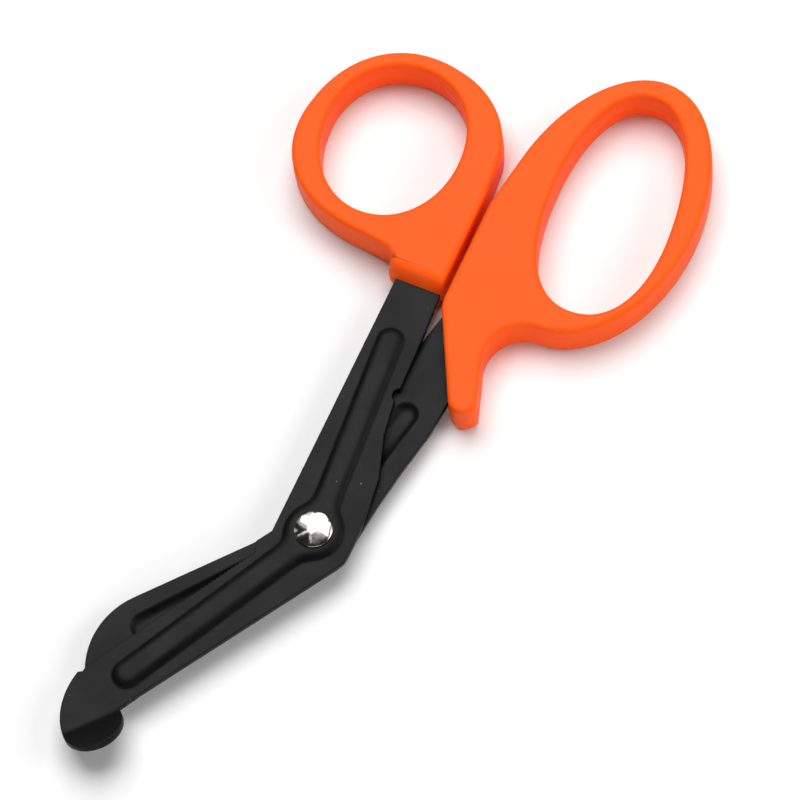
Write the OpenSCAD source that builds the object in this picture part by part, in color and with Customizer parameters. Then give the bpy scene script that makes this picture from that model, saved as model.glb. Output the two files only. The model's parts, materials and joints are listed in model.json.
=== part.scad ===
// Angled emergency shears: two stamped steel blades in moulded handles, on one rivet.
// Lengths are millimetres and angles are degrees. Every outline is drawn about the rivet
// axis, with +Y running up the front tang to the handles. place() then moves the part so
// that its origin is the bottom centre of its bounding box.

/* [Blade steel] */
// thickness of the blade steel
blade_t = 1.6; // [1.2:0.1:2.2]
// running gap between the inner faces of the two blades
blade_gap = 0.1; // [0.04:0.02:0.3]
// height of the pressed ribs and of the boss round the rivet
rib_h = 0.8; // [0.4:0.1:1.2]
// how far a rib's flank slopes in from its foot to its crown
rib_flank = 1.8; // [1:0.1:2.2]
// width over the foot of the jaw ribs
jaw_rib_w = 6.6; // [5.6:0.1:7.6]
// width over the foot of the front tang's rib
tang_rib_w = 6.1; // [5:0.1:6.6]
// width over the foot of the back tang's rib
back_rib_w = 5.4; // [4.8:0.1:6]
// radius over the foot of the boss
boss_r = 6.5; // [6:0.1:7]

/* [Front blade] */
// distance of the tang's outer edge from the rivet axis
tang_out = 8.5; // [7.5:0.1:9.5]
// distance of the tang's inner edge from the rivet axis, where it meets the collar
tang_in = 2.3; // [1.8:0.1:2.8]
// distance of the tang's inner edge from the rivet axis, beside the wire notch
tang_mid = 3.4; // [2.9:0.1:3.8]
// distance of the heel from the rivet axis
heel_x = 9.2; // [8.6:0.1:10.2]
// turn of the jaw out of the tang's line
jaw_turn = 32.3; // [28:0.1:36]
// distance of the jaw's straight back from the jaw's line through the rivet
jaw_back = 10; // [9:0.1:11]
// distance of the cutting edge from the same line, at the heel end
jaw_edge = 3.4; // [2.6:0.1:4]
// distance along the jaw at which the teeth start
teeth_start = 13.2; // [12.6:0.1:18]
// distance along the jaw at which the teeth end
teeth_end = 57; // [52:0.5:57]
// pitch of the fine teeth
tooth_pitch = 1; // [0.8:0.1:2]
// depth of the fine teeth
tooth_depth = 0.25; // [0.1:0.05:0.5]
// distance along the jaw at which the back ends and the bent tab begins
neck_u = 56.4; // [55:0.1:58]
// half width of the bulb at the tip
tip_w = 7.7; // [7:0.1:8.5]
// half length of the bulb at the tip
tip_l = 11.8; // [11:0.1:13]
// how far the tab at the tip is bent up
tab_bend = 27; // [10:1:45]
// how far the tab stands out from its fold line, along its own surface
tab_reach = 8.2; // [7:0.1:9]
// height of the wire notch's centre above the rivet axis
notch_y = 36.4; // [34:0.1:40]
// radius of the wire notch
notch_r = 1.6; // [1:0.1:2.2]

/* [Back blade] */
// turn of the back blade's jaw from the front tang's line
back_turn = 41; // [39:0.5:43]
// distance of the back jaw's straight back from its line through the rivet
back_spine = 4.15; // [3.6:0.05:4.6]
// distance of the back jaw's cutting edge from the same line
back_edge = 8.8; // [8:0.1:9.2]
// distance along the back jaw at which its tip starts to round off
back_round_u = 41.2; // [38:0.1:42]
// radius of the back jaw's tip
back_round_r = 17.5; // [15:0.1:18]
// lean of the back tang away from the front tang's line
back_lean = 11.6; // [10.5:0.1:12.5]

/* [Rivet] */
// diameter of the shank
shank_d = 4.2; // [3.6:0.1:5]
// radial running clearance of the front blade on the shank
shank_gap = 0.05; // [0.02:0.01:0.1]
// diameter of the domed head
head_d = 8.4; // [7.4:0.1:9.2]
// height of the domed head
head_h = 1.3; // [0.9:0.1:1.6]
// diameter of the peened tail
tail_d = 7.4; // [6.4:0.1:8.4]
// height of the peened tail
tail_h = 1; // [0.6:0.1:1.4]
// running gap between the head and the front boss
head_gap = 0.05; // [0.02:0.01:0.2]

/* [Handles] */
// thickness of both handles
handle_h = 10; // [9:0.5:12]
// radius round the edges of the mouldings
edge_r = 1.1; // [0.6:0.1:1.4]
// height above the rivet axis at which the thumb handle's collar ends
collar_y = 61.9; // [60:0.1:64]
// how far the collar covers the front tang beyond its outer edge
collar_lip = 2.4; // [1.6:0.1:3.2]
// depth of the bevel on the collar's end
collar_bevel = 2.2; // [1:0.1:2.4]
// distance of the thumb handle's straight inner wall from the rivet axis
thumb_wall = 2.4; // [1.8:0.1:2.8]
// distance of the finger handle's straight inner wall from the rivet axis
finger_wall = 3.9; // [3.6:0.1:4.6]
// middle of the thumb ring's hole, across and up
thumb_c = [-22.6, 91.8];
// half width of the thumb ring's hole
thumb_a = 16; // [14:0.1:16.4]
// half height of the thumb ring's hole
thumb_b = 18.6; // [16:0.1:19]
// wall of the thumb ring, at its sides and at its ends
thumb_rim = [5.6, 4.3];
// middle of the finger loop's hole, across and up
finger_c = [29.5, 95.6];
// half width of the finger loop's hole
finger_a = 14; // [12:0.1:14.4]
// half height of the finger loop's hole
finger_b = 27.4; // [24:0.1:28]
// wall of the finger loop, at its sides and at its ends
finger_rim = [5.5, 5.6];
// middle of the finger handle's spur end, across and up
spur_c = [17.9, 39.8];
// radius of the spur's end
spur_r = 3.5; // [3:0.1:4]
// middle of the hollow curve between the spur and the loop, across and up
crook_c = [26.6, 52.4];
// radius of that hollow curve
crook_r = 9.2; // [8:0.1:9.6]

/* [Tongues in the handles] */
// how far the front tang's tongue is set in from the tang's edges
tongue_in = 1.4; // [1:0.1:2]
// how far the front tongue reaches past the collar's end
tongue_l = 17; // [10:0.5:17.5]
// height above the rivet axis at which the back tongue ends
back_tongue_y = 74; // [68:0.5:75]
// diameter of the hole in each tongue that the plastic fills
lock_d = 4.5; // [3:0.1:5]

/* [Hidden] */
steel = [0.10, 0.10, 0.11];
plastic = [1.0, 0.45, 0.19];
plate = [0.82, 0.82, 0.84];
mid_z = handle_h / 2;
front_z = mid_z + blade_gap / 2;
back_z = mid_z - blade_gap / 2 - blade_t;
front_top = front_z + blade_t + rib_h;
back_low = back_z - rib_h;
hole_n = 48;

// Unit vector, arc and point lists that every outline below is made of.
function unit(v) = v / norm(v);
function arc(c, r, a, b, n) =
    [for (i = [0:n]) let (t = a + (b - a) * i / n) c + [r.x * cos(t), r.y * sin(t)]];
function round_arc(c, r, a, b, n) = arc(c, [r, r], a, b, n);

// Oval with a tilt, a narrowing towards one end and a slightly squared round.
function power(x, e) = sign(x) * pow(abs(x), 2 / e);
function turned(p, a) = [p.x * cos(a) - p.y * sin(a), p.x * sin(a) + p.y * cos(a)];
function oval(c, a, b, tilt, taper, e, from = 0) = [for (t = [from:6:from + 359])
    let (y = power(sin(t), e), x = power(cos(t), e) * (1 + taper * y))
    c + turned([a * x, b * y], tilt)];

// A point of the front or back jaw: u along it towards the tip, v across it.
function on_jaw(turn, u, v) =
    [v * cos(turn) - u * sin(turn), -v * sin(turn) - u * cos(turn)];
function jaw(u, v) = on_jaw(jaw_turn, u, v);
function back_jaw(u, v) = on_jaw(back_turn, u, v);

// ---- Front blade outline: bulb at the tip, fold of the tab, teeth and notch.
tip_c = jaw(58.8, 6.2);
neck = jaw(neck_u, jaw_back);
tip_arc = arc(tip_c, [tip_w, tip_l], 160, 236, 10);
fold_end = tip_arc[10];
fold_dir = unit(fold_end - neck);
fold_out = [-fold_dir.y, fold_dir.x];
fold_l = norm(fold_end - neck);

ric_v = jaw_edge + 2;
ric_u = (tang_out - ric_v * cos(jaw_turn)) / sin(jaw_turn);
tooth_n = floor((teeth_end - teeth_start) / tooth_pitch);
function edge_v(u) = -jaw_edge + 1.2 * (u - teeth_start) / (teeth_end - teeth_start);
teeth = [for (i = [0:tooth_n - 1], k = [0, 1])
    let (u = teeth_start + (i + k / 2) * tooth_pitch) jaw(u, edge_v(u) + k * tooth_depth)];

notch_half = acos((notch_r - 1.1) / notch_r);
tongue_x0 = -tang_out + tongue_in;
tongue_x1 = tang_in - tongue_in;

front_outline = concat(
    [[-tang_out, collar_y], jaw(ric_u, -ric_v), jaw(teeth_start - 1.8, -ric_v)],
    teeth,
    [jaw(teeth_end, edge_v(teeth_end)), jaw(teeth_end + 1.3, edge_v(teeth_end) + 0.6)],
    tip_arc,
    [neck, jaw(0.6, jaw_back)],
    [[heel_x - 0.15, -4], [heel_x, -2.4], [heel_x, 3], [heel_x - 0.4, 9], [heel_x - 1.3, 16.7]],
    [[tang_mid + 1.3, 26.5]],
    round_arc([tang_mid + notch_r - 1.1, notch_y], notch_r, 180 + notch_half,
        180 - notch_half, 10),
    [[tang_mid - 0.4, 49.5], [tang_in, collar_y], [tongue_x1, collar_y]],
    [[tongue_x1, collar_y + tongue_l], [tongue_x0, collar_y + tongue_l]],
    [[tongue_x0, collar_y]]);

// The tab beyond the fold, flat: s along the fold and w out from it.
tab_root = 0.4;
tab_l = fold_l - tab_root;
tab_r = (tab_l * tab_l / 4 + tab_reach * tab_reach) / (2 * tab_reach);
tab_half = acos((tab_r - tab_reach) / tab_r);
tab_flat = round_arc([tab_l / 2, tab_reach - tab_r], tab_r, 90 + tab_half, 90 - tab_half, 20);
function folded(p) = neck + (p.x + (fold_l - tab_l) / 2) * fold_dir
    + (p.y * cos(tab_bend) - tab_root) * fold_out;

// ---- Back blade outline.
tip_mid_v = back_round_r - back_spine;
tip_cut = asin((tip_mid_v - back_edge) / back_round_r);
back_tip = [for (i = [0:12]) let (t = i * (90 - tip_cut - 6) / 12)
    back_jaw(back_round_u + back_round_r * sin(t), tip_mid_v - back_round_r * cos(t))];
back_end_u = back_round_u + back_round_r * cos(tip_cut);
function on_tang(s, v) = [s * sin(back_lean) + v, s * cos(back_lean)];
lean_edge = on_tang(59, -7.5);
spur_dir = unit([finger_wall + 0.4, 58.4] - (spur_c + [-spur_r, -1.4]));
entry_in = [finger_wall + 1.9, 58.6];
back_outline = concat(
    [lean_edge, on_tang(41, -7.6), on_tang(28.5, -8.5)],
    [[-6.6, 16], [-8, 4], back_jaw(7.3, -back_spine)],
    back_tip,
    [back_jaw(back_end_u - 1.6, back_edge - 0.4), back_jaw(back_end_u - 4, back_edge)],
    [back_jaw(0, back_edge), [8.4, -3.5], [8.8, 2]],
    [[9.8, 11.2], [11.3, 20.7], [13.3, 30.7], [13.8, 36]],
    [[14.8, 46], [14.8, back_tongue_y], [7.4, back_tongue_y], entry_in]);

// ---- Handle outlines.
thumb_hole = oval(thumb_c, thumb_a, thumb_b, 6, 0.034, 2.07);
thumb_ring = oval(thumb_c + [1.75, -0.55], thumb_a + thumb_rim.x + 1.45,
    thumb_b + thumb_rim.y + 0.1, -11.5, -0.037, 2.2);
collar_x = -tang_out - collar_lip;
thumb_outline = concat(
    [for (p = thumb_ring) if (p.x < thumb_wall - 1 && p.y > thumb_c.y + 3) p],
    [for (p = thumb_ring) if (p.x < collar_x - 1 && p.y <= thumb_c.y + 3) p],
    [[collar_x, 66.4]],
    round_arc([collar_x + 1.8, collar_y + 1.8], 1.8, 180, 270, 4),
    round_arc([thumb_wall - 0.5, collar_y + 0.5], 0.5, 270, 360, 2),
    [[thumb_wall, thumb_c.y - 5], [thumb_wall - 0.45, thumb_c.y + 1.4]]);

finger_hole = oval(finger_c, finger_a, finger_b, 4.65, -0.076, 2.2);
finger_ring = oval(finger_c + [-2.2, -0.9], finger_a + finger_rim.x + 2.2,
    finger_b + finger_rim.y + 0.4, -4.8, -0.042, 2, -96);
finger_outline = concat(
    [for (p = finger_ring) if (p.x > crook_c.x + 1 || p.y > finger_c.y + 4) p],
    [[finger_wall + 0.9, finger_c.y - 4], [finger_wall, finger_c.y - 10]],
    [[finger_wall, 60.6], [finger_wall + 0.4, 58.4]],
    round_arc(spur_c, spur_r, 204, 350, 8),
    [for (t = [202:-10:102]) crook_c + crook_r * [cos(t), sin(t)]]);

// ---- Frame: where the bounding box's bottom centre lies, from the rivet axis.
x_min = min([for (p = thumb_outline) p.x]);
x_max = max([for (p = finger_outline) p.x]);
y_min = min([for (p = tab_flat) folded(p).y]);
y_max = max([for (p = finger_outline) p.y]);
module place() translate([-(x_min + x_max) / 2, -(y_min + y_max) / 2, 0]) children();

// Outline moved inwards by d, each corner along its own bisector.
function inset(p, d) = [for (i = [0:len(p) - 1])
    let (u = unit(p[i] - p[(i + len(p) - 1) % len(p)]), v = unit(p[(i + 1) % len(p)] - p[i]))
    p[i] + d * [-u.y - v.y, u.x + v.x] / max(1 + u * v, 0.5)];

// Stack of rings, each a height, an inset and how far the points below end_y are drawn
// back along Y, closed into one solid.
module ring_stack(p, rings, end_y = -1000) {
    n = len(p);
    function drawn_back(lift) = [for (q = p) q.y < end_y ? q + [0, lift] : q];
    pts = [for (r = rings) for (q = inset(drawn_back(r[2]), r[1])) [q.x, q.y, r[0]]];
    sides = [for (k = [0:len(rings) - 2], i = [0:n - 1], h = [0, 1])
        let (a = k * n + i, b = k * n + (i + 1) % n)
        h == 0 ? [a, a + n, b] : [b, a + n, b + n]];
    floor_face = [for (i = [0:n - 1]) i];
    roof_face = [for (i = [n - 1:-1:0]) (len(rings) - 1) * n + i];
    polyhedron(pts, concat(sides, [floor_face, roof_face]), convexity = 6);
}

bevel_z = mid_z - blade_t - blade_gap / 2;
edge_steps = [for (t = [0, 45, 90]) edge_r * [1 - cos(t), 1 - sin(t)]];
low_rings = [for (e = edge_steps) [e[0], e[1], collar_bevel * (1 - e[0] / bevel_z)]];
function from_top(r) = [handle_h - r[0], r[1], r[2]];
slab_rings = concat(low_rings, [for (i = [2:-1:0]) from_top(low_rings[i])]);
collar_rings = concat(low_rings, [[bevel_z, 0, 0], [handle_h - bevel_z, 0, 0]],
    [for (i = [2:-1:0]) from_top(low_rings[i])]);
low_hole = concat([[-1, -edge_r, 0]], [for (e = edge_steps) [e[0], -e[1], 0]]);
hole_rings = concat(low_hole, [for (i = [3:-1:0]) from_top(low_hole[i])]);

// Pressed rib: a round-ended ridge from a to b, wide at its foot, narrower on its crown.
function pill(a, b, r) = let (d = atan2(b.y - a.y, b.x - a.x))
    concat(round_arc(a, r, d + 90, d + 270, 10), round_arc(b, r, d - 90, d + 90, 10));
function disc(r) = [for (i = [0:39]) r * [cos(9 * i + 3), sin(9 * i + 3)]];
module ridge(a, b, w) pressed(pill(a, b, w / 2), pill(a, b, w / 2 - rib_flank));
module boss() pressed(disc(boss_r), disc(boss_r - rib_flank));
module pressed(low, high) {
    n = len(low);
    pts = concat([for (p = low) [p.x, p.y, 0]], [for (p = high) [p.x, p.y, rib_h]]);
    sides = [for (i = [0:n - 1], h = [0, 1])
        let (j = (i + 1) % n) h == 0 ? [i, n + i, j] : [j, n + i, n + j]];
    polyhedron(pts, concat(sides, [[for (i = [0:n - 1]) i], [for (i = [n - 1:-1:0]) n + i]]));
}

module front_ribs() {
    ridge([-3.35, 47.6], [0, 2.6], tang_rib_w);
    ridge([0, -1], jaw(50.8, 4.1), jaw_rib_w);
    boss();
}

module back_ribs() {
    ridge([6.7, 33.4], [0.2, 2], back_rib_w);
    ridge([0, -2], back_jaw(41.5, 3.3), jaw_rib_w);
    boss();
}

module front_blade() color(steel) place() {
    difference() {
        union() {
            translate([0, 0, front_z]) linear_extrude(blade_t) polygon(front_outline);
            translate([0, 0, front_z + blade_t]) front_ribs();
            tip_tab();
        }
        translate([0, 0, front_z]) front_ribs();
        translate([0, 0, front_z - 1]) cylinder(d = shank_d + 2 * shank_gap,
            h = blade_t + rib_h + 2, $fn = hole_n);
        front_lock();
    }
}

// The tab turns up about the fold line, with its root let into the blade.
module tip_tab() {
    translate([neck.x, neck.y, front_z + tab_root / 4])
        rotate([0, 0, atan2(fold_dir.y, fold_dir.x)])
        translate([(fold_l - tab_l) / 2, -tab_root, 0])
        rotate([tab_bend, 0, 0])
        linear_extrude(blade_t) polygon(tab_flat);
}

module front_lock() {
    translate([(tongue_x0 + tongue_x1) / 2, collar_y + tongue_l * 0.6, front_z - 1])
        cylinder(d = lock_d, h = blade_t + 2, $fn = hole_n);
}

module back_lock() {
    translate([10.8, 65, back_z - 1]) cylinder(d = lock_d, h = blade_t + 2, $fn = hole_n);
}

module back_blade() color(steel) place() {
    difference() {
        union() {
            translate([0, 0, back_z]) linear_extrude(blade_t) polygon(back_outline);
            translate([0, 0, back_z]) mirror([0, 0, 1]) back_ribs();
        }
        translate([0, 0, back_z + blade_t]) mirror([0, 0, 1]) back_ribs();
        translate([0, 0, back_low - 1]) cylinder(d = shank_d, h = blade_t + rib_h + 2,
            $fn = hole_n);
        back_lock();
    }
}

module thumb_handle() color(plastic) place() {
    difference() {
        ring_stack(thumb_outline, collar_rings, collar_y + 2);
        ring_stack(thumb_hole, hole_rings);
        difference() {
            translate([0, 0, front_z]) linear_extrude(blade_t) polygon(front_outline);
            front_lock();
        }
    }
}

module finger_handle() color(plastic) place() {
    difference() {
        ring_stack(finger_outline, slab_rings);
        ring_stack(finger_hole, hole_rings);
        difference() {
            translate([0, 0, back_z]) linear_extrude(blade_t) polygon(back_outline);
            back_lock();
        }
    }
}

// Domed head, plain shank and peened tail, turned as one profile.
module rivet() color(plate) place() {
    head_z = front_top + head_gap;
    dome = head_h * 0.65;
    dome_r = (head_d * head_d / 4 + dome * dome) / (2 * dome);
    half = asin(head_d / 2 / dome_r);
    tail_edge = tail_h * 0.4;
    rotate_extrude($fn = hole_n) polygon(concat(
        [[0, back_low - tail_h], [tail_d / 2 - 0.8, back_low - tail_h]],
        [[tail_d / 2, back_low - tail_edge], [tail_d / 2, back_low], [shank_d / 2, back_low]],
        [[shank_d / 2, head_z], [head_d / 2, head_z]],
        [for (t = [half:-half / 6:0.01]) [dome_r * sin(t), head_z + head_h - dome_r * (1 - cos(t))]],
        [[0, head_z + head_h]]));
}

front_blade();
back_blade();
thumb_handle();
finger_handle();
rivet();
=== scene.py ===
import bpy
import bmesh
import json
import math
from mathutils import Matrix, Vector


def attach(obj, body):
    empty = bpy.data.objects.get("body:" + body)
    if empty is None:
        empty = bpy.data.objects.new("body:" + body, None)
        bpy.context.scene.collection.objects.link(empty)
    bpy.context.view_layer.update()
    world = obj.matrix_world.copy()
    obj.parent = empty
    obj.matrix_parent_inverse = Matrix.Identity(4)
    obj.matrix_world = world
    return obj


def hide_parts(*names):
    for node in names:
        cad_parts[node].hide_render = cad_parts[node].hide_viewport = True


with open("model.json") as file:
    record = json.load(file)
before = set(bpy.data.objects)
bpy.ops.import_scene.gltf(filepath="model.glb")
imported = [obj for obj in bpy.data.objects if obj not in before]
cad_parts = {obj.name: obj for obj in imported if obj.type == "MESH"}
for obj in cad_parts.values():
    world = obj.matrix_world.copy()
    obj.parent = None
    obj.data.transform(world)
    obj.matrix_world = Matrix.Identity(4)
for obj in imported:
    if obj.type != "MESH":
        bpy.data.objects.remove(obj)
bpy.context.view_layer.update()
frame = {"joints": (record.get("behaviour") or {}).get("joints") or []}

# ---------------------------------------------------------------------------
# Camera: a long lens above the shears and a little to the finger side, with the
# blades pointing down and to the left of the picture.
lens = bpy.data.cameras.new("camera")
lens.lens = 208.333
lens.sensor_width = 36.0
lens.clip_start = 0.05
lens.clip_end = 20.0
camera = bpy.data.objects.new("camera", lens)
camera.location = (0.236790, -0.344079, 0.927528)
camera.rotation_euler = [math.radians(a) for a in (24.12599, 4.39820, 24.27887)]
bpy.context.scene.collection.objects.link(camera)
bpy.context.scene.camera = camera


# ---------------------------------------------------------------------------
# Studio: a seamless white table, one wide soft box overhead and one on each side.
# The white of the table has only a faint unevenness.
def node(tree, kind, inputs=None, **settings):
    made = tree.nodes.new(kind)
    for name, value in settings.items():
        setattr(made, name, value)
    for name, value in (inputs or {}).items():
        if isinstance(value, bpy.types.NodeSocket):
            tree.links.new(value, made.inputs[name])
        else:
            made.inputs[name].default_value = value
    return made


def new_finish(name):
    finish = bpy.data.materials.new(name)
    finish.use_nodes = True
    finish.node_tree.nodes.clear()
    return finish, finish.node_tree


def close_finish(tree, shader):
    node(tree, "ShaderNodeOutputMaterial", {"Surface": shader.outputs["BSDF"]})


table_finish, tree = new_finish("table_white")
spot = node(tree, "ShaderNodeTexCoord").outputs["Object"]
mottle = node(tree, "ShaderNodeTexNoise", {"Vector": spot, "Scale": 9.0, "Detail": 3.0})
white = node(tree, "ShaderNodeMix", {"Factor": mottle.outputs["Fac"],
             "A": (0.88, 0.88, 0.885, 1), "B": (0.90, 0.90, 0.90, 1)}, data_type="RGBA")
close_finish(tree, node(tree, "ShaderNodeBsdfPrincipled", {
    "Base Color": white.outputs["Result"], "Roughness": 0.7}))

bm = bmesh.new()
bmesh.ops.create_grid(bm, x_segments=2, y_segments=2, size=2.5)
bmesh.ops.translate(bm, vec=(0, 0, -0.00005), verts=bm.verts)
table_mesh = bpy.data.meshes.new("table")
bm.to_mesh(table_mesh)
bm.free()
table = bpy.data.objects.new("table", table_mesh)
table.data.materials.append(table_finish)
bpy.context.scene.collection.objects.link(table)


def soft_box(name, place, aim, width, height, glow, tint=(1, 1, 1)):
    lamp = bpy.data.lights.new(name, "AREA")
    lamp.shape = "RECTANGLE"
    lamp.size, lamp.size_y = width, height
    lamp.energy = glow * math.pi * width * height
    lamp.color = tint
    box = bpy.data.objects.new(name, lamp)
    box.location = place
    box.rotation_euler = (Vector(aim) - Vector(place)).to_track_quat("-Z", "Y").to_euler()
    bpy.context.scene.collection.objects.link(box)


soft_box("light_over", (-0.30, 0.48, 1.10), (0, 0, 0), 1.25, 1.1, 4.6)
soft_box("light_right", (0.85, 0.38, 0.62), (0, 0, 0), 0.6, 0.6, 4.0)
soft_box("light_front", (0.45, -0.85, 0.34), (0, 0, 0), 1.1, 0.4, 3.2)

world = bpy.data.worlds.new("studio")
world.use_nodes = True
sky = world.node_tree
heading = node(sky, "ShaderNodeTexCoord").outputs["Generated"]
facing = node(sky, "ShaderNodeVectorMath", operation="DOT_PRODUCT")
sky.links.new(heading, facing.inputs[0])
facing.inputs[1].default_value = (0.32, -0.47, 0.82)
dim = node(sky, "ShaderNodeMapRange", {"Value": facing.outputs["Value"], "From Min": 0.80, "From Max": 0.93,
           "To Min": 0.42, "To Max": 0.04})
sky.links.new(dim.outputs["Result"], sky.nodes["Background"].inputs["Strength"])
bpy.context.scene.world = world
bpy.context.scene.view_settings.view_transform = "Standard"


# ---------------------------------------------------------------------------
# Front blade: 1.6 mm stainless strip with a black non-stick coat. One pressed rib
# runs down the tang, one down the jaw, and both meet in the round boss under the
# rivet. The tip is folded up into a flat tab, and the lower edge is cut in fine teeth.
pivot = Vector(frame["joints"][0]["pos_m"])
blade_t = 1.6
front_z = 5.05
jaw_turn = 32.3
tang_out, tang_in, tang_mid, heel_x = 8.5, 2.3, 3.4, 9.2
collar_y = 61.9


def on_jaw(turn, u, v):
    """u along a jaw from the rivet to the tip, v across it."""
    c, s = math.cos(math.radians(turn)), math.sin(math.radians(turn))
    return Vector((v * c - u * s, -v * s - u * c))


def arc(centre, rx, ry, first, last, count):
    turns = [math.radians(first + (last - first) * i / count) for i in range(count + 1)]
    return [Vector((centre[0] + rx * math.cos(t), centre[1] + ry * math.sin(t))) for t in turns]


def strip(outline, low, thick, edge):
    """A flat steel blank cut to its outline, with its rim edges just broken."""
    bm = bmesh.new()
    rim = [bm.verts.new((p[0], p[1], low)) for p in outline]
    face = bm.faces.new(rim)
    face.normal_update()
    if face.normal.z > 0:
        face.normal_flip()
    raised = bmesh.ops.extrude_face_region(bm, geom=[face], use_keep_orig=True)["geom"]
    bmesh.ops.translate(bm, vec=(0, 0, thick), verts=[v for v in raised if isinstance(v, bmesh.types.BMVert)])
    bmesh.ops.recalc_face_normals(bm, faces=bm.faces)
    rims = [e for e in bm.edges if len({round(v.co.z, 4) for v in e.verts}) == 1]
    bmesh.ops.bevel(bm, geom=rims, offset=edge, offset_type="OFFSET", segments=2,
                    profile=0.5, affect="EDGES", material=-1, clamp_overlap=True)
    return bm


def score(bm, normal, first, last, step):
    """Cuts the steel along evenly spaced planes, so that the press can shape it."""
    normal = Vector(normal)
    for i in range(int((last - first) / step) + 1):
        bmesh.ops.bisect_plane(bm, geom=bm.verts[:] + bm.edges[:] + bm.faces[:], dist=1e-4,
                               plane_co=normal * (first + i * step), plane_no=normal)


def rib_height(point, ribs, boss_r, flank, height):
    """Height of the pressed ribs and boss at a point: a crisp foot, a rounded crown and
    soft hollows where they meet."""
    gaps = [boss_r - point.length]
    for start, end, width in ribs:
        along = end - start
        t = min(max((point - start).dot(along) / along.length_squared, 0), 1)
        gaps.append(width / 2 - (point - start - along * t).length)
    top = max(gaps)
    if top < -2:
        return 0
    blend = 0.9
    inside = top + blend * math.log(sum(math.exp((g - top) / blend) for g in gaps))
    foot = 0.35
    t = min(max((inside + foot / 2) / (flank + foot / 2), 0), 1)
    rise = 1 - (1 - t) ** 2
    soft = min(max((inside + foot / 2) / foot, 0), 1)
    return height * rise * soft * (2 - soft)


def punch(bm, radius):
    """Opens the round rivet hole through both faces and lines it."""
    near = [f for f in bm.faces if f.calc_center_median().xy.length < radius * 1.08]
    bmesh.ops.delete(bm, geom=near, context="FACES")
    open_edges = [e for e in bm.edges if e.is_boundary]
    for v in {v for e in open_edges for v in e.verts}:
        v.co.xy = v.co.xy.normalized() * radius
    bmesh.ops.bridge_loops(bm, edges=open_edges)


def finish_piece(bm, name, finish, body, node_name):
    """Puts a piece modelled in millimetres around the rivet into its place in the part."""
    bmesh.ops.remove_doubles(bm, verts=bm.verts, dist=1e-4)
    bmesh.ops.recalc_face_normals(bm, faces=bm.faces)
    bmesh.ops.scale(bm, vec=(0.001, 0.001, 0.001), verts=bm.verts)
    bmesh.ops.translate(bm, vec=(pivot.x, pivot.y, 0), verts=bm.verts)
    for f in bm.faces:
        f.smooth = True
    mesh = bpy.data.meshes.new(name)
    bm.to_mesh(mesh)
    bm.free()
    mesh.materials.append(finish)
    piece = bpy.data.objects.new(name, mesh)
    bpy.context.scene.collection.objects.link(piece)
    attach(piece, body)
    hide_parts(node_name)
    return piece


def jaw(u, v):
    return on_jaw(jaw_turn, u, v)


tooth_first, tooth_last, tooth_pitch, tooth_depth = 13.2, 57.0, 1.0, 0.25
jaw_edge, jaw_back, ricasso_v = 3.4, 10.0, 5.4


def edge_v(u):
    return -jaw_edge + 1.2 * (u - tooth_first) / (tooth_last - tooth_first)


teeth = []
for i in range(int((tooth_last - tooth_first) / tooth_pitch)):
    for k in (0, 1):
        u = tooth_first + (i + k / 2) * tooth_pitch
        teeth.append(jaw(u, edge_v(u) + k * tooth_depth))

ricasso_u = (tang_out - ricasso_v * math.cos(math.radians(jaw_turn))) / math.sin(math.radians(jaw_turn))
neck = jaw(56.4, jaw_back)
bulb = arc(jaw(58.8, 6.2), 7.7, 11.8, 160, 236, 24)
fold_end = bulb[-1]
fold_along = (fold_end - neck).normalized()
fold_out = Vector((-fold_along.y, fold_along.x))
fold_l = (fold_end - neck).length
tab_reach, tab_bend = 7.9, 27.0
tab_r = (fold_l ** 2 / 4 + tab_reach ** 2) / (2 * tab_reach)
tab_half = math.degrees(math.acos((tab_r - tab_reach) / tab_r))
tab = [neck + fold_along * p.x + fold_out * p.y
       for p in arc((fold_l / 2, tab_reach - tab_r), tab_r, tab_r, 90 - tab_half, 90 + tab_half, 40)]
notch_y, notch_r = 36.4, 1.6
notch_half = math.degrees(math.acos((notch_r - 1.1) / notch_r))

front_outline = (
    [Vector((-tang_out, collar_y + 17)), Vector((-tang_out, collar_y)), jaw(ricasso_u, -ricasso_v),
     jaw(tooth_first - 1.8, -ricasso_v)] + teeth
    + [jaw(tooth_last, edge_v(tooth_last)), jaw(tooth_last + 1.3, edge_v(tooth_last) + 0.6)]
    + bulb + tab[1:-1] + [neck, jaw(0.6, jaw_back)]
    + [Vector(p) for p in ((heel_x - 0.15, -4), (heel_x, -2.4), (heel_x, 3), (heel_x - 0.4, 9),
                           (heel_x - 1.3, 16.7), (tang_mid + 1.3, 26.5))]
    + arc((tang_mid + notch_r - 1.1, notch_y), notch_r, notch_r, 180 + notch_half, 180 - notch_half, 14)
    + [Vector(p) for p in ((tang_mid - 0.4, 49.5), (tang_in, collar_y), (tang_in - 1.4, collar_y + 17))])

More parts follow.
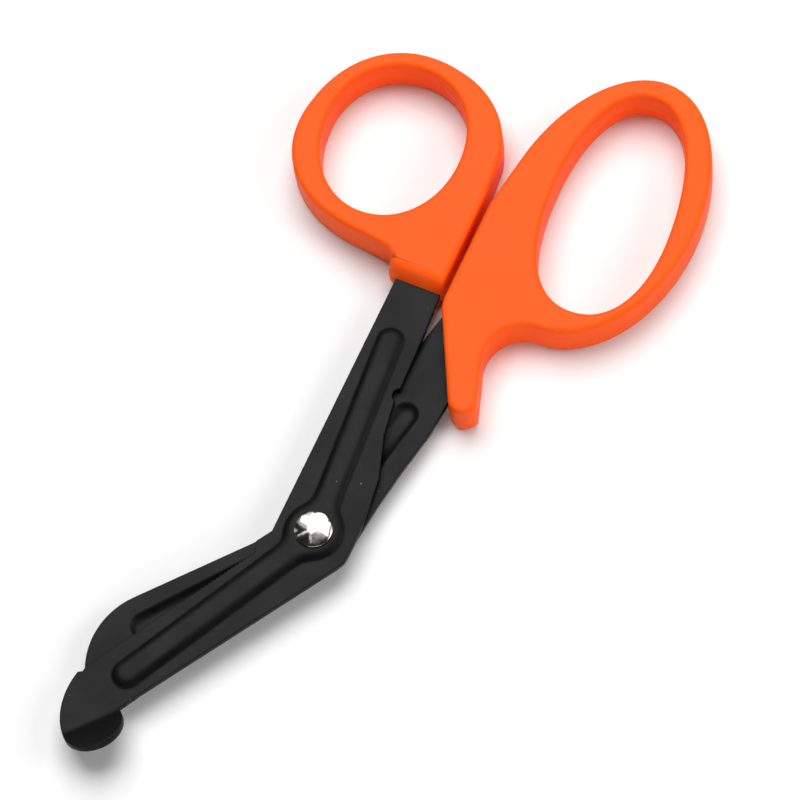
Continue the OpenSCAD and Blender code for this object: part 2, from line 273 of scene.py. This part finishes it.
bm = strip(front_outline, front_z, blade_t, 0.14)
score(bm, (0, 1, 0), -64, 54, 0.4)
score(bm, (1, 0, 0), -44, 10, 0.4)
front_ribs = [(Vector((-3.35, 47.6)), Vector((0, 2.6)), 6.1),
              (Vector((0.3, -1)), jaw(50.8, 4.5), 6.4)]
for v in bm.verts:
    v.co.z += rib_height(v.co.xy, front_ribs, 6.5, 2.2, 0.8)
fold_steps = 6
fold_axis = Vector((fold_along.x, fold_along.y, 0))
for i in range(fold_steps):
    start = neck + fold_out * (-0.7 + 0.35 * i)
    line = Vector((start.x, start.y, front_z + blade_t))
    bmesh.ops.bisect_plane(bm, geom=bm.verts[:] + bm.edges[:] + bm.faces[:], dist=1e-4,
                           plane_co=line, plane_no=(fold_out.x, fold_out.y, 0))
for i in reversed(range(fold_steps)):
    start = neck + fold_out * (-0.7 + 0.35 * i)
    beyond = [v for v in bm.verts
              if (v.co.xy - start).dot(fold_out) > -1e-4 and (v.co.xy - neck).dot(fold_along) > -6
              and v.co.y < -40]
    bmesh.ops.rotate(bm, verts=beyond, cent=(start.x, start.y, front_z + blade_t),
                     matrix=Matrix.Rotation(math.radians(tab_bend / fold_steps), 3, fold_axis))
punch(bm, 2.15)


def edge_wear_and_highlight_group():
    """A mask of the outer edges; the lighter colour it mixes in is partly a coat worn thin and partly a
    painted highlight along the rims.
    """
    group = bpy.data.node_groups.new("edge_wear_and_highlight", "ShaderNodeTree")
    group.interface.new_socket("Radius", in_out="INPUT", socket_type="NodeSocketFloat")
    group.interface.new_socket("Mask", in_out="OUTPUT", socket_type="NodeSocketFloat")
    start = node(group, "NodeGroupInput")
    end = node(group, "NodeGroupOutput")
    rounded = node(group, "ShaderNodeBevel", {"Radius": start.outputs["Radius"]}, samples=4)
    plain = node(group, "ShaderNodeNewGeometry")
    match = node(group, "ShaderNodeVectorMath", operation="DOT_PRODUCT")
    group.links.new(rounded.outputs["Normal"], match.inputs[0])
    group.links.new(plain.outputs["Normal"], match.inputs[1])
    mask = node(group, "ShaderNodeMapRange", {"Value": match.outputs["Value"], "From Min": 0.995,
                "From Max": 0.80, "To Min": 0.0, "To Max": 1.0})
    group.links.new(mask.outputs["Result"], end.inputs["Mask"])
    return group


def dust_group():
    """Stray specks of dust, each a fraction of a millimetre across."""
    group = bpy.data.node_groups.new("dust", "ShaderNodeTree")
    for name in ("Scale", "Amount"):
        group.interface.new_socket(name, in_out="INPUT", socket_type="NodeSocketFloat")
    group.interface.new_socket("Mask", in_out="OUTPUT", socket_type="NodeSocketFloat")
    start = node(group, "NodeGroupInput")
    end = node(group, "NodeGroupOutput")
    spot = node(group, "ShaderNodeTexCoord").outputs["Object"]
    cells = node(group, "ShaderNodeTexVoronoi", {"Vector": spot, "Scale": start.outputs["Scale"]})
    pick = node(group, "ShaderNodeSeparateColor", {"Color": cells.outputs["Color"]})
    chosen = node(group, "ShaderNodeMath", operation="LESS_THAN")
    group.links.new(pick.outputs["Red"], chosen.inputs[0])
    group.links.new(start.outputs["Amount"], chosen.inputs[1])
    size = node(group, "ShaderNodeMath", operation="MULTIPLY_ADD")
    group.links.new(pick.outputs["Green"], size.inputs[0])
    size.inputs[1].default_value, size.inputs[2].default_value = 0.09, 0.05
    close = node(group, "ShaderNodeMath", operation="LESS_THAN")
    group.links.new(cells.outputs["Distance"], close.inputs[0])
    group.links.new(size.outputs["Value"], close.inputs[1])
    both = node(group, "ShaderNodeMath", operation="MULTIPLY")
    group.links.new(chosen.outputs["Value"], both.inputs[0])
    group.links.new(close.outputs["Value"], both.inputs[1])
    group.links.new(both.outputs["Value"], end.inputs["Mask"])
    return group


edge_wear_and_highlight = edge_wear_and_highlight_group()
dust = dust_group()

black_coat, tree = new_finish("black_coat")
spot = node(tree, "ShaderNodeTexCoord").outputs["Object"]
grain = node(tree, "ShaderNodeTexNoise", {"Vector": spot, "Scale": 3200.0, "Detail": 3.0, "Roughness": 0.6})
smear = node(tree, "ShaderNodeTexNoise", {"Vector": spot, "Scale": 110.0, "Detail": 4.0, "Roughness": 0.6})
lint = tree.nodes.new("ShaderNodeGroup")
lint.node_tree = dust
lint.inputs["Scale"].default_value = 800.0
lint.inputs["Amount"].default_value = 0.02
rub_and_highlight = tree.nodes.new("ShaderNodeGroup")
rub_and_highlight.node_tree = edge_wear_and_highlight
rub_and_highlight.inputs["Radius"].default_value = 0.00018
coat = node(tree, "ShaderNodeMix", {"Factor": smear.outputs["Fac"],
            "A": (0.0016, 0.0016, 0.0020, 1), "B": (0.0030, 0.0030, 0.0036, 1)}, data_type="RGBA")
# Edges lightened: partly the coat worn thin, partly a painted highlight along the rims.
edged = node(tree, "ShaderNodeMix", {"Factor": rub_and_highlight.outputs["Mask"], "A": coat.outputs["Result"],
             "B": (0.035, 0.035, 0.038, 1)}, data_type="RGBA")
dusty = node(tree, "ShaderNodeMix", {"Factor": lint.outputs["Mask"], "A": edged.outputs["Result"],
             "B": (0.16, 0.16, 0.17, 1)}, data_type="RGBA")
satin = node(tree, "ShaderNodeMapRange", {"Value": smear.outputs["Fac"], "From Min": 0.3, "From Max": 0.7,
             "To Min": 0.36, "To Max": 0.48})
relief = node(tree, "ShaderNodeBump", {"Height": grain.outputs["Fac"], "Strength": 0.5,
              "Distance": 0.00004})
close_finish(tree, node(tree, "ShaderNodeBsdfPrincipled", {
    "Base Color": dusty.outputs["Result"], "Roughness": satin.outputs["Result"],
    "Normal": relief.outputs["Normal"], "Specular IOR Level": 0.12}))

finish_piece(bm, "front_blade_steel", black_coat, "thumb_side", "front_blade")


# ---------------------------------------------------------------------------
# Back blade: the same coated strip, plain-edged and round-nosed. Its ribs are
# pressed the other way, so that its upper face shows them as grooves.
back_z = 3.35
back_turn, back_lean, back_spine, back_edge = 41.0, 11.6, 4.15, 8.8
nose_u, nose_r = 41.2, 17.5


def back_jaw(u, v):
    return on_jaw(back_turn, u, v)


def on_tang(s, v):
    lean = math.radians(back_lean)
    return Vector((s * math.sin(lean) + v, s * math.cos(lean)))


nose_v = nose_r - back_spine
nose_cut = math.degrees(math.asin((nose_v - back_edge) / nose_r))
nose = []
for i in range(25):
    t = math.radians(i * (84 - nose_cut) / 24)
    nose.append(back_jaw(nose_u + nose_r * math.sin(t), nose_v - nose_r * math.cos(t)))
nose_end = nose_u + nose_r * math.cos(math.radians(nose_cut))
back_outline = (
    [on_tang(59, -7.5), on_tang(41, -7.6), on_tang(28.5, -8.5), Vector((-6.6, 16)), Vector((-8, 4)),
     back_jaw(7.3, -back_spine)] + nose
    + [back_jaw(nose_end - 1.6, back_edge - 0.4), back_jaw(nose_end - 4, back_edge), back_jaw(0, back_edge)]
    + [Vector(p) for p in ((8.4, -3.5), (8.8, 2), (9.8, 11.2), (11.3, 20.7), (13.3, 30.7), (13.8, 36),
                           (14.8, 46), (14.8, 74), (7.4, 74), (5.8, 58.6))])
bm = strip(back_outline, back_z, blade_t, 0.14)
score(bm, (0, 1, 0), -56, 40, 0.4)
score(bm, (1, 0, 0), -48, 14, 0.4)
back_ribs = [(Vector((6.7, 33.4)), Vector((0.2, 2)), 5.4), (Vector((0, -2)), back_jaw(41.5, 3.3), 6.6)]
for v in bm.verts:
    v.co.z -= rib_height(v.co.xy, back_ribs, 6.5, 2.2, 0.8)
punch(bm, 2.1)
finish_piece(bm, "back_blade_steel", black_coat, "finger_side", "back_blade")


# ---------------------------------------------------------------------------
# Thumb handle: orange plastic moulded around the front blade's tang. A round ring
# with softly rounded edges, a straight inner wall, and a collar whose end slopes
# down to the steel. A faint parting line runs round its middle.
handle_h = 10.0
edge_r = 1.1


def power(x, e):
    return math.copysign(abs(x) ** (2 / e), x)


def oval(centre, a, b, tilt, taper, e, start=0):
    """An oval with a tilt, a narrowing towards one end and a slightly squared round."""
    points = []
    turn = Matrix.Rotation(math.radians(tilt), 2)
    for i in range(120):
        t = math.radians(start + 3 * i)
        y = power(math.sin(t), e)
        x = power(math.cos(t), e) * (1 + taper * y)
        points.append(Vector(centre) + turn @ Vector((a * x, b * y)))
    return points


def mould(outline, hole):
    """Half a handle, raised from the parting line ring by ring."""
    bm = bmesh.new()
    seams = []
    for loop in (outline, hole):
        ring = [bm.verts.new((p[0], p[1], handle_h / 2)) for p in loop]
        seams += [bm.edges.new((ring[i - 1], ring[i])) for i in range(len(ring))]
    filled = bmesh.ops.triangle_fill(bm, edges=seams, use_beauty=True, normal=(0, 0, 1))["geom"]
    top = [f for f in filled if isinstance(f, bmesh.types.BMFace)]
    for f in top:
        f.normal_update()
        if f.normal.z < 0:
            f.normal_flip()
    turns = [math.radians(15 * i) for i in range(7)]
    rings = [(0.02, 0.12), (0.03, 1.53), (0.04, handle_h / 2 - 1.65 - edge_r)]
    rings += [(edge_r * (math.cos(a) - math.cos(b)), edge_r * (math.sin(b) - math.sin(a)))
              for a, b in zip(turns, turns[1:])]
    for inward, upward in rings + [(0.12, 0.0)]:
        bmesh.ops.inset_region(bm, faces=top, thickness=inward, depth=upward,
                               use_boundary=True, use_even_offset=True)
    return bm


def both_halves(bm):
    bmesh.ops.mirror(bm, geom=bm.verts[:] + bm.edges[:] + bm.faces[:], axis="Z",
                     matrix=Matrix.Translation((0, 0, -handle_h / 2)), merge_dist=0.005)
    return bm


thumb_c = Vector((-22.6, 91.8))
thumb_wall = 2.4
collar_x = -tang_out - 2.4
thumb_hole = oval(thumb_c, 16, 18.6, 6, 0.034, 2.07)
thumb_ring = oval(thumb_c + Vector((1.75, -0.55)), 23.05, 23.0, -11.5, -0.037, 2.2)
thumb_outline = (
    [p for p in thumb_ring if p.x < thumb_wall - 1 and p.y > thumb_c.y + 3]
    + [p for p in thumb_ring if p.x < collar_x - 8 and p.y <= thumb_c.y + 3]
    + [Vector((collar_x - 1.8, 67.0)), Vector((collar_x - 0.5, 66.2)), Vector((collar_x, 65.0))] + arc((collar_x + 1.8, collar_y + 1.8), 1.8, 1.8, 180, 270, 6)
    + [Vector(p) for p in ((thumb_wall, collar_y), (thumb_wall, thumb_c.y - 5),
                           (thumb_wall - 0.45, thumb_c.y + 1.4))])
bm = mould(thumb_outline, thumb_hole)
collar_slope = 2.2
for v in bm.verts:
    rise = max(abs(v.co.z - handle_h / 2) - 1.65, 0) / (handle_h / 2 - 1.65)
    if v.co.y < collar_y + 3 and v.co.x > collar_x - 0.1:
        v.co.y += collar_slope * rise * max(0, min(1, (collar_y + 3 - v.co.y) / 1.5))
both_halves(bm)

orange_plastic, tree = new_finish("orange_plastic")
spot = node(tree, "ShaderNodeTexCoord").outputs["Object"]
cloud = node(tree, "ShaderNodeTexNoise", {"Vector": spot, "Scale": 45.0, "Detail": 3.0})
skin = node(tree, "ShaderNodeTexNoise", {"Vector": spot, "Scale": 2400.0, "Detail": 3.0, "Roughness": 0.55})
peel = node(tree, "ShaderNodeTexNoise", {"Vector": spot, "Scale": 260.0, "Detail": 2.0})
lint = tree.nodes.new("ShaderNodeGroup")
lint.node_tree = dust
lint.inputs["Scale"].default_value = 600.0
lint.inputs["Amount"].default_value = 0.003
rub_and_highlight = tree.nodes.new("ShaderNodeGroup")
rub_and_highlight.node_tree = edge_wear_and_highlight
rub_and_highlight.inputs["Radius"].default_value = 0.0005
dye = node(tree, "ShaderNodeMix", {"Factor": cloud.outputs["Fac"],
           "A": (0.98, 0.096, 0.004, 1), "B": (1.0, 0.108, 0.007, 1)}, data_type="RGBA")
# Edges a touch lighter and paler: partly rubbed plastic, partly a painted highlight along the rounded rims.
edged = node(tree, "ShaderNodeMix", {"Factor": rub_and_highlight.outputs["Mask"], "A": dye.outputs["Result"],
             "B": (1.0, 0.10, 0.015, 1)}, data_type="RGBA")
dusty = node(tree, "ShaderNodeMix", {"Factor": lint.outputs["Mask"], "A": edged.outputs["Result"],
             "B": (0.55, 0.06, 0.01, 1)}, data_type="RGBA")
gloss = node(tree, "ShaderNodeMapRange", {"Value": cloud.outputs["Fac"], "From Min": 0.3, "From Max": 0.7,
             "To Min": 0.40, "To Max": 0.50})
wavy = node(tree, "ShaderNodeBump", {"Height": peel.outputs["Fac"], "Strength": 0.08, "Distance": 0.0002})
relief = node(tree, "ShaderNodeBump", {"Height": skin.outputs["Fac"], "Strength": 0.15,
              "Distance": 0.00005, "Normal": wavy.outputs["Normal"]})
close_finish(tree, node(tree, "ShaderNodeBsdfPrincipled", {
    "Base Color": dusty.outputs["Result"], "Roughness": gloss.outputs["Result"],
    "Normal": relief.outputs["Normal"], "Specular IOR Level": 0.10, "Subsurface Weight": 0.12,
    "Subsurface Radius": (1.0, 0.25, 0.08), "Subsurface Scale": 0.002}))

finish_piece(bm, "thumb_handle_plastic", orange_plastic, "thumb_side", "thumb_handle")


# ---------------------------------------------------------------------------
# Finger handle: the same plastic around the back blade's tang. A long loop for two
# or three fingers, a straight inner wall, and a short spur beside the steel that
# ends in a round nose.
finger_c = Vector((29.5, 95.6))
finger_wall = 3.9
crook_c, crook_r = Vector((26.6, 52.4)), 9.2
finger_hole = oval(finger_c, 14, 27.4, 4.65, -0.076, 2.2)
finger_ring = oval(finger_c + Vector((-2.2, -0.9)), 21.7, 33.4, -4.8, -0.042, 2, -96)
finger_outline = (
    [p for p in finger_ring if p.x > crook_c.x + 1 or p.y > finger_c.y + 4]
    + [Vector(p) for p in ((finger_wall + 0.9, finger_c.y - 4), (finger_wall, finger_c.y - 10),
                           (finger_wall, 60.6), (finger_wall + 0.4, 58.4))]
    + arc((17.9, 39.8), 3.5, 3.5, 204, 350, 16)
    + arc(crook_c, crook_r, crook_r, 202, 102, 20))
bm = both_halves(mould(finger_outline, finger_hole))
finish_piece(bm, "finger_handle_plastic", orange_plastic, "finger_side", "finger_handle")


# ---------------------------------------------------------------------------
# Rivet: one nickel-plated pin that holds both blades, turned with a low domed head
# above and a peened tail below. The hammer left shallow flats on the dome.
head_z = front_z + blade_t + 0.8 + 0.05
head_r, head_h = 4.2, 1.3
tail_z, tail_r, tail_h = back_z - 0.8, 3.7, 1.0
dome = head_h * 0.65
dome_r = (head_r ** 2 + dome ** 2) / (2 * dome)
dome_half = math.asin(head_r / dome_r)
profile = [(0, tail_z - tail_h), (tail_r - 0.8, tail_z - tail_h), (tail_r - 0.1, tail_z - 0.45),
           (tail_r, tail_z - 0.3), (tail_r, tail_z), (2.1, tail_z), (2.1, head_z), (head_r - 0.12, head_z),
           (head_r, head_z + 0.12), (head_r, head_z + head_h - dome - 0.05)]
for i in range(17):
    t = dome_half * (1 - i / 16) * 0.985
    profile.append((dome_r * math.sin(t), head_z + head_h - dome_r * (1 - math.cos(t))))
bm = bmesh.new()
pins = [bm.verts.new((r, 0, z)) for r, z in profile]
lines = [bm.edges.new(pair) for pair in zip(pins, pins[1:])]
bmesh.ops.spin(bm, geom=pins + lines, cent=(0, 0, 0), axis=(0, 0, 1), angle=math.tau, steps=72,
               use_merge=True)
bmesh.ops.remove_doubles(bm, verts=bm.verts, dist=1e-4)
bmesh.ops.recalc_face_normals(bm, faces=bm.faces)
dome_top = head_z + head_h
flats = [(0, 0, 0.12)] + [(0.25 + 0.03 * math.sin(5 * i), 20 + 60 * i + 7 * math.sin(3 * i), 0.26)
                          for i in range(6)]
for lean, heading, bite in flats:
    out = Vector((math.sin(lean) * math.cos(math.radians(heading)),
                  math.sin(lean) * math.sin(math.radians(heading)), math.cos(lean)))
    touch = Vector((0, 0, dome_top - dome_r)) + out * (dome_r - bite * 0.55)
    cut = bmesh.ops.bisect_plane(bm, geom=bm.verts[:] + bm.edges[:] + bm.faces[:], dist=1e-5,
                                 plane_co=touch, plane_no=out, clear_outer=True)
    rim = [e for e in cut["geom_cut"] if isinstance(e, bmesh.types.BMEdge)]
    bmesh.ops.edgeloop_fill(bm, edges=rim)
ridges = [e for e in bm.edges if e.calc_face_angle(0) > math.radians(4)
          and min(v.co.z for v in e.verts) > head_z + head_h - dome + 0.05]
bmesh.ops.bevel(bm, geom=ridges, offset=0.07, offset_type="OFFSET", segments=2, profile=0.5,
                affect="EDGES", material=-1, clamp_overlap=True)

nickel, tree = new_finish("nickel_plate")
spot = node(tree, "ShaderNodeTexCoord").outputs["Object"]
bloom = node(tree, "ShaderNodeTexNoise", {"Vector": spot, "Scale": 500.0, "Detail": 4.0, "Roughness": 0.6})
ripple = node(tree, "ShaderNodeTexNoise", {"Vector": spot, "Scale": 420.0, "Detail": 1.0})
lint = tree.nodes.new("ShaderNodeGroup")
lint.node_tree = dust
lint.inputs["Scale"].default_value = 1500.0
lint.inputs["Amount"].default_value = 0.02
plate = node(tree, "ShaderNodeMix", {"Factor": lint.outputs["Mask"], "A": (0.50, 0.485, 0.46, 1),
             "B": (0.22, 0.21, 0.20, 1)}, data_type="RGBA")
polish = node(tree, "ShaderNodeMapRange", {"Value": bloom.outputs["Fac"], "From Min": 0.3, "From Max": 0.7,
              "To Min": 0.16, "To Max": 0.26})
relief = node(tree, "ShaderNodeBump", {"Height": ripple.outputs["Fac"], "Strength": 0.25, "Distance": 0.0002})
close_finish(tree, node(tree, "ShaderNodeBsdfPrincipled", {
    "Base Color": plate.outputs["Result"], "Metallic": 1.0, "Roughness": polish.outputs["Result"],
    "Normal": relief.outputs["Normal"]}))
finish_piece(bm, "rivet_nickel", nickel, "finger_side", "rivet")
